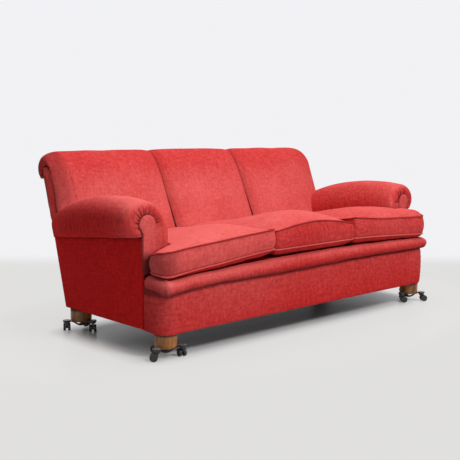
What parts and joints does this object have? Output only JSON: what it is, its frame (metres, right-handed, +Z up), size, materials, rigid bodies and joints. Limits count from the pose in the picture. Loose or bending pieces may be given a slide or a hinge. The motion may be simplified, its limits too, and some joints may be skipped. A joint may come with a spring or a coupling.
{
  "type": "sofa",
  "caption": "Upholstered sofa with rolled arms, channelled roll-over back, loose piped seat cushions, turned wooden feet and castered coasters.",
  "frame": {"origin": "on the floor, in the middle of the width and of the depth over everything", "axes": "+X to the sitter's left as seen from the front (right of the picture), +Y to the back, +Z up"},
  "size_m": [1.9104, 1.0059, 0.8099],
  "materials": {
    "red_wool": "worn woven wool, brushed",
    "frame_wood": "plain sawn",
    "foot_wood": "glossy amber varnish",
    "dust_cloth": "thin black cloth",
    "jute": "woven strap",
    "spring_steel": "drawn wire",
    "black_metal": "black paint, satin",
    "black_plastic": "moulded, satin",
    "wheel_plastic": "moulded, satin"
  },
  "bodies": {
    "sofa": {"front_border": "red_wool", "front_roll": "red_wool", "seat_deck": "red_wool", "dust_cover": "dust_cloth", "outside_back": "red_wool", "outside_arm_left": "red_wool", "outside_arm_right": "red_wool", "front_rail": "frame_wood", "back_rail": "frame_wood", "side_rails": "frame_wood", "cross_rails": "frame_wood", "corner_blocks": "frame_wood", "back_posts": "frame_wood", "back_cross_rails": "frame_wood", "arm_posts": "frame_wood", "arm_boards": "frame_wood", "zigzag_springs": "spring_steel", "back_webbing": "jute", "arm_pad_left": "red_wool", "arm_pad_right": "red_wool", "arm_facing_left": "red_wool", "arm_facing_right": "red_wool", "back_facing_left": "red_wool", "back_facing_right": "red_wool", "back_panel_left": "red_wool", "back_panel_centre": "red_wool", "back_panel_right": "red_wool", "feet": "foot_wood", "foot_bolts": "spring_steel", "coaster_front_left": "black_metal", "coaster_front_right": "black_metal", "coaster_back_left": "black_metal", "coaster_back_right": "black_metal"},
    "seat_cushion_left": {"seat_cushion_left": "red_wool"},
    "seat_cushion_centre": {"seat_cushion_centre": "red_wool"},
    "seat_cushion_right": {"seat_cushion_right": "red_wool"},
    "caster_fork_front_left_1": {"caster_fork_front_left_1": "black_plastic"},
    "caster_wheels_front_left_1": {"caster_wheels_front_left_1": "wheel_plastic"},
    "caster_fork_front_left_2": {"caster_fork_front_left_2": "black_plastic"},
    "caster_wheels_front_left_2": {"caster_wheels_front_left_2": "wheel_plastic"},
    "caster_fork_front_left_3": {"caster_fork_front_left_3": "black_plastic"},
    "caster_wheels_front_left_3": {"caster_wheels_front_left_3": "wheel_plastic"},
    "caster_fork_front_right_1": {"caster_fork_front_right_1": "black_plastic"},
    "caster_wheels_front_right_1": {"caster_wheels_front_right_1": "wheel_plastic"},
    "caster_fork_front_right_2": {"caster_fork_front_right_2": "black_plastic"},
    "caster_wheels_front_right_2": {"caster_wheels_front_right_2": "wheel_plastic"},
    "caster_fork_front_right_3": {"caster_fork_front_right_3": "black_plastic"},
    "caster_wheels_front_right_3": {"caster_wheels_front_right_3": "wheel_plastic"},
    "caster_fork_back_left_1": {"caster_fork_back_left_1": "black_plastic"},
    "caster_wheels_back_left_1": {"caster_wheels_back_left_1": "wheel_plastic"},
    "caster_fork_back_left_2": {"caster_fork_back_left_2": "black_plastic"},
    "caster_wheels_back_left_2": {"caster_wheels_back_left_2": "wheel_plastic"},
    "caster_fork_back_left_3": {"caster_fork_back_left_3": "black_plastic"},
    "caster_wheels_back_left_3": {"caster_wheels_back_left_3": "wheel_plastic"},
    "caster_fork_back_right_1": {"caster_fork_back_right_1": "black_plastic"},
    "caster_wheels_back_right_1": {"caster_wheels_back_right_1": "wheel_plastic"},
    "caster_fork_back_right_2": {"caster_fork_back_right_2": "black_plastic"},
    "caster_wheels_back_right_2": {"caster_wheels_back_right_2": "wheel_plastic"},
    "caster_fork_back_right_3": {"caster_fork_back_right_3": "black_plastic"},
    "caster_wheels_back_right_3": {"caster_wheels_back_right_3": "wheel_plastic"}
  },
  "joints": [
    {"name": "left_cushion_lift", "type": "slide", "parent": "sofa", "child": "seat_cushion_left", "axis": [0, 0, 1], "range_m": [0, 0.3]},
    {"name": "centre_cushion_lift", "type": "slide", "parent": "sofa", "child": "seat_cushion_centre", "axis": [0, 0, 1], "range_m": [0, 0.3]},
    {"name": "right_cushion_lift", "type": "slide", "parent": "sofa", "child": "seat_cushion_right", "axis": [0, 0, 1], "range_m": [0, 0.3]},
    {"name": "swivel_front_left_1", "type": "hinge", "parent": "sofa", "child": "caster_fork_front_left_1", "pos_m": [-0.88848, -0.44205, 0.04], "axis": [0, 0, 1], "continuous": true},
    {"name": "roll_front_left_1", "type": "hinge", "parent": "caster_fork_front_left_1", "child": "caster_wheels_front_left_1", "pos_m": [-0.89768, -0.43434, 0.0165], "axis": [-0.6428, -0.766, 0], "continuous": true},
    {"name": "swivel_front_left_2", "type": "hinge", "parent": "sofa", "child": "caster_fork_front_left_2", "pos_m": [-0.77215, -0.46048, 0.04], "axis": [0, 0, 1], "continuous": true},
    {"name": "roll_front_left_2", "type": "hinge", "parent": "caster_fork_front_left_2", "child": "caster_wheels_front_left_2", "pos_m": [-0.76905, -0.44889, 0.0165], "axis": [-0.9659, 0.2588, 0], "continuous": true},
    {"name": "swivel_front_left_3", "type": "hinge", "parent": "sofa", "child": "caster_fork_front_left_3", "pos_m": [-0.81436, -0.35052, 0.04], "axis": [0, 0, 1], "continuous": true},
    {"name": "roll_front_left_3", "type": "hinge", "parent": "caster_fork_front_left_3", "child": "caster_wheels_front_left_3", "pos_m": [-0.81645, -0.3387, 0.0165], "axis": [-0.9848, -0.1736, 0], "continuous": true},
    {"name": "swivel_front_right_1", "type": "hinge", "parent": "sofa", "child": "caster_fork_front_right_1", "pos_m": [0.75717, -0.42243, 0.04], "axis": [0, 0, 1], "continuous": true},
    {"name": "roll_front_right_1", "type": "hinge", "parent": "caster_fork_front_right_1", "child": "caster_wheels_front_right_1", "pos_m": [0.76636, -0.43014, 0.0165], "axis": [0.6428, 0.766, 0], "continuous": true},
    {"name": "swivel_front_right_2", "type": "hinge", "parent": "sofa", "child": "caster_fork_front_right_2", "pos_m": [0.86303, -0.47406, 0.04], "axis": [0, 0, 1], "continuous": true},
    {"name": "roll_front_right_2", "type": "hinge", "parent": "caster_fork_front_right_2", "child": "caster_wheels_front_right_2", "pos_m": [0.87286, -0.48094, 0.0165], "axis": [0.5736, 0.8192, 0], "continuous": true},
    {"name": "swivel_front_right_3", "type": "hinge", "parent": "sofa", "child": "caster_fork_front_right_3", "pos_m": [0.85481, -0.35657, 0.04], "axis": [0, 0, 1], "continuous": true},
    {"name": "roll_front_right_3", "type": "hinge", "parent": "caster_fork_front_right_3", "child": "caster_wheels_front_right_3", "pos_m": [0.8652, -0.35057, 0.0165], "axis": [-0.5, 0.866, 0], "continuous": true},
    {"name": "swivel_back_left_1", "type": "hinge", "parent": "sofa", "child": "caster_fork_back_left_1", "pos_m": [-0.89126, 0.22602, 0.04], "axis": [0, 0, 1], "continuous": true},
    {"name": "roll_back_left_1", "type": "hinge", "parent": "caster_fork_back_left_1", "child": "caster_wheels_back_left_1", "pos_m": [-0.88526, 0.23641, 0.0165], "axis": [-0.866, 0.5, 0], "continuous": true},
    {"name": "swivel_back_left_2", "type": "hinge", "parent": "sofa", "child": "caster_fork_back_left_2", "pos_m": [-0.80512, 0.1457, 0.04], "axis": [0, 0, 1], "continuous": true},
    {"name": "roll_back_left_2", "type": "hinge", "parent": "caster_fork_back_left_2", "child": "caster_wheels_back_left_2", "pos_m": [-0.812, 0.13587, 0.0165], "axis": [0.8192, -0.5736, 0], "continuous": true},
    {"name": "swivel_back_left_3", "type": "hinge", "parent": "sofa", "child": "caster_fork_back_left_3", "pos_m": [-0.77862, 0.26046, 0.04], "axis": [0, 0, 1], "continuous": true},
    {"name": "roll_back_left_3", "type": "hinge", "parent": "caster_fork_back_left_3", "child": "caster_wheels_back_left_3", "pos_m": [-0.77091, 0.25127, 0.0165], "axis": [0.766, 0.6428, 0], "continuous": true},
    {"name": "swivel_back_right_1", "type": "hinge", "parent": "sofa", "child": "caster_fork_back_right_1", "pos_m": [0.77291, 0.16702, 0.04], "axis": [0, 0, 1], "continuous": true},
    {"name": "roll_back_right_1", "type": "hinge", "parent": "caster_fork_back_right_1", "child": "caster_wheels_back_right_1", "pos_m": [0.78419, 0.17112, 0.0165], "axis": [-0.342, 0.9397, 0], "continuous": true},
    {"name": "swivel_back_right_2", "type": "hinge", "parent": "sofa", "child": "caster_fork_back_right_2", "pos_m": [0.8889, 0.18747, 0.04], "axis": [0, 0, 1], "continuous": true},
    {"name": "roll_back_right_2", "type": "hinge", "parent": "caster_fork_back_right_2", "child": "caster_wheels_back_right_2", "pos_m": [0.87971, 0.19518, 0.0165], "axis": [-0.6428, -0.766, 0], "continuous": true},
    {"name": "swivel_back_right_3", "type": "hinge", "parent": "sofa", "child": "caster_fork_back_right_3", "pos_m": [0.81319, 0.27769, 0.04], "axis": [0, 0, 1], "continuous": true},
    {"name": "roll_back_right_3", "type": "hinge", "parent": "caster_fork_back_right_3", "child": "caster_wheels_back_right_3", "pos_m": [0.81009, 0.2661, 0.0165], "axis": [0.9659, -0.2588, 0], "continuous": true}
  ]
}
